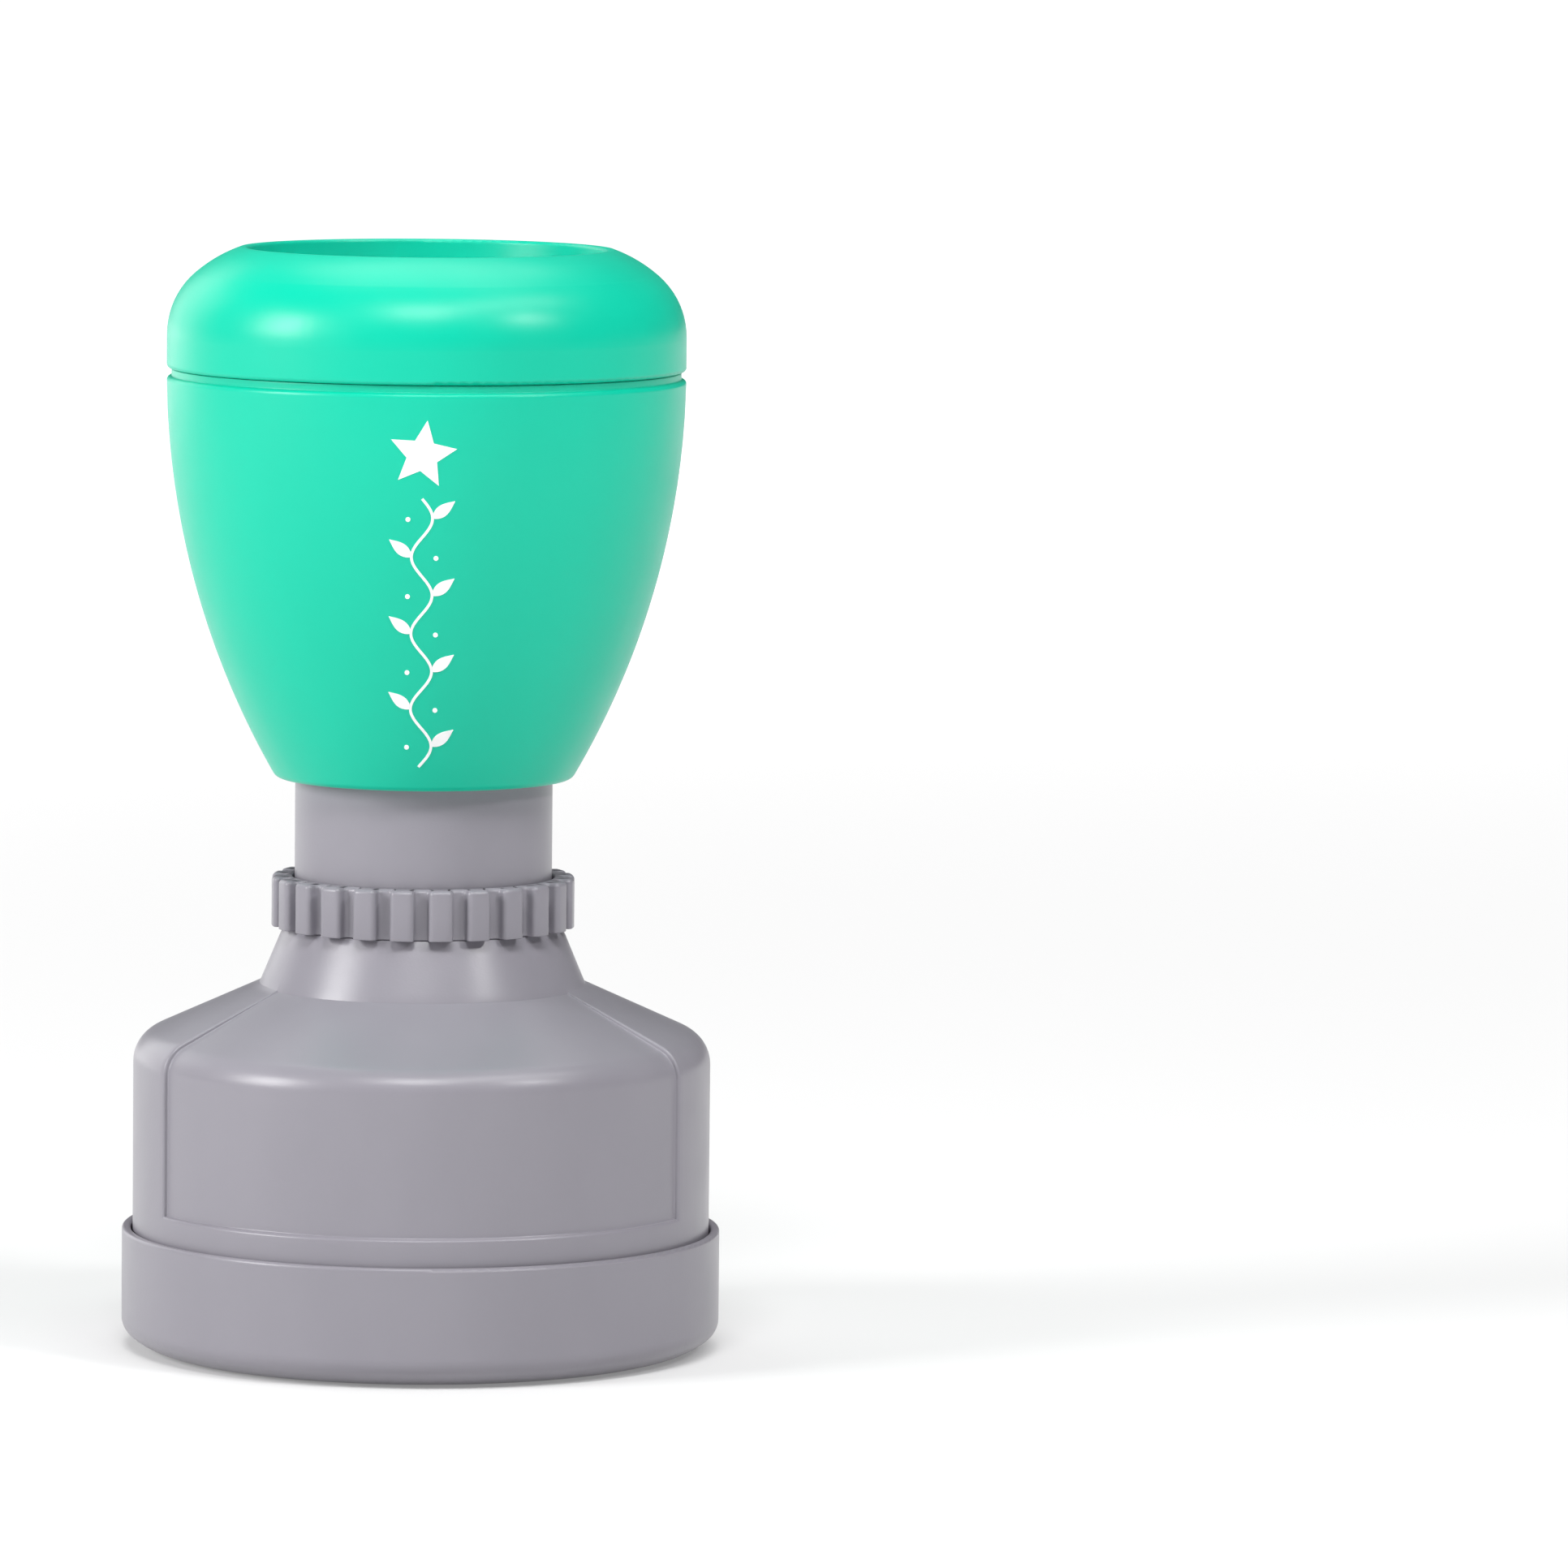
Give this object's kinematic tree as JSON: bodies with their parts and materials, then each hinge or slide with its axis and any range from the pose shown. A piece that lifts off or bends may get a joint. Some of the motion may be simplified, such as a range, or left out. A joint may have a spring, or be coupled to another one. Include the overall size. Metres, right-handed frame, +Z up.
{
  "type": "rubber stamp",
  "caption": "Round pre-inked hand stamp with a sprung plunger handle, a toothed depth-adjusting ring, a bell-shaped shell and a pull-off dust cap.",
  "frame": {"origin": "centre of the dust cap's underside, on the table", "axes": "+Z up along the stamp's axis, -Y towards the front panel, +X to the right seen from the front"},
  "size_m": [0.05, 0.05, 0.0919],
  "materials": {
    "green_plastic": "semi-gloss moulded",
    "grey_plastic": "satin moulded",
    "inner_plastic": "satin moulded, black",
    "spring_steel": "drawn wire",
    "screw_steel": "zinc plated",
    "die_foam": "microporous foam soaked with green ink",
    "felt": "felt soaked with green ink",
    "soft_plug": "translucent silicone",
    "label_paper": "uncoated printed paper",
    "clear_window": "clear acrylic"
  },
  "bodies": {
    "cap": {"dust_cap": "grey_plastic"},
    "shell": {"outer_shell": "grey_plastic"},
    "ring": {"adjusting_ring": "grey_plastic"},
    "tube": {"guide_tube": "grey_plastic", "return_spring": "spring_steel"},
    "plunger": {"handle_barrel": "green_plastic", "handle_top": "green_plastic", "index_label": "label_paper", "index_window": "clear_window", "handle_screw": "screw_steel", "handle_screw_washer": "screw_steel", "plunger_rod": "inner_plastic", "die_holder": "inner_plastic", "holder_screw": "screw_steel", "refill_plugs": "soft_plug", "ink_reservoir": "felt", "stamp_die": "die_foam", "die_clamp_ring": "inner_plastic"}
  },
  "joints": [
    {"name": "cap_lift", "type": "slide", "parent": "cap", "child": "shell", "axis": [0, 0, 1], "range_m": [0, 0.04]},
    {"name": "ring_turn", "type": "hinge", "parent": "shell", "child": "ring", "pos_m": [0, 0, 0.0375], "axis": [0, 0, 1], "range_deg": [-180, 180]},
    {"name": "tube_height", "type": "slide", "parent": "shell", "child": "tube", "axis": [0, 0, 1], "range_m": [-0.001, 0.001]},
    {"name": "handle_press", "type": "slide", "parent": "tube", "child": "plunger", "axis": [0, 0, 1], "range_m": [-0.006, 0], "stiffness_N_per_m": 800, "springref_m": 0.01, "deforming": ["return_spring"]}
  ],
  "couplings": [
    {"joint": "ring_turn", "follows": "tube_height", "rad_per_m": -3140}
  ]
}
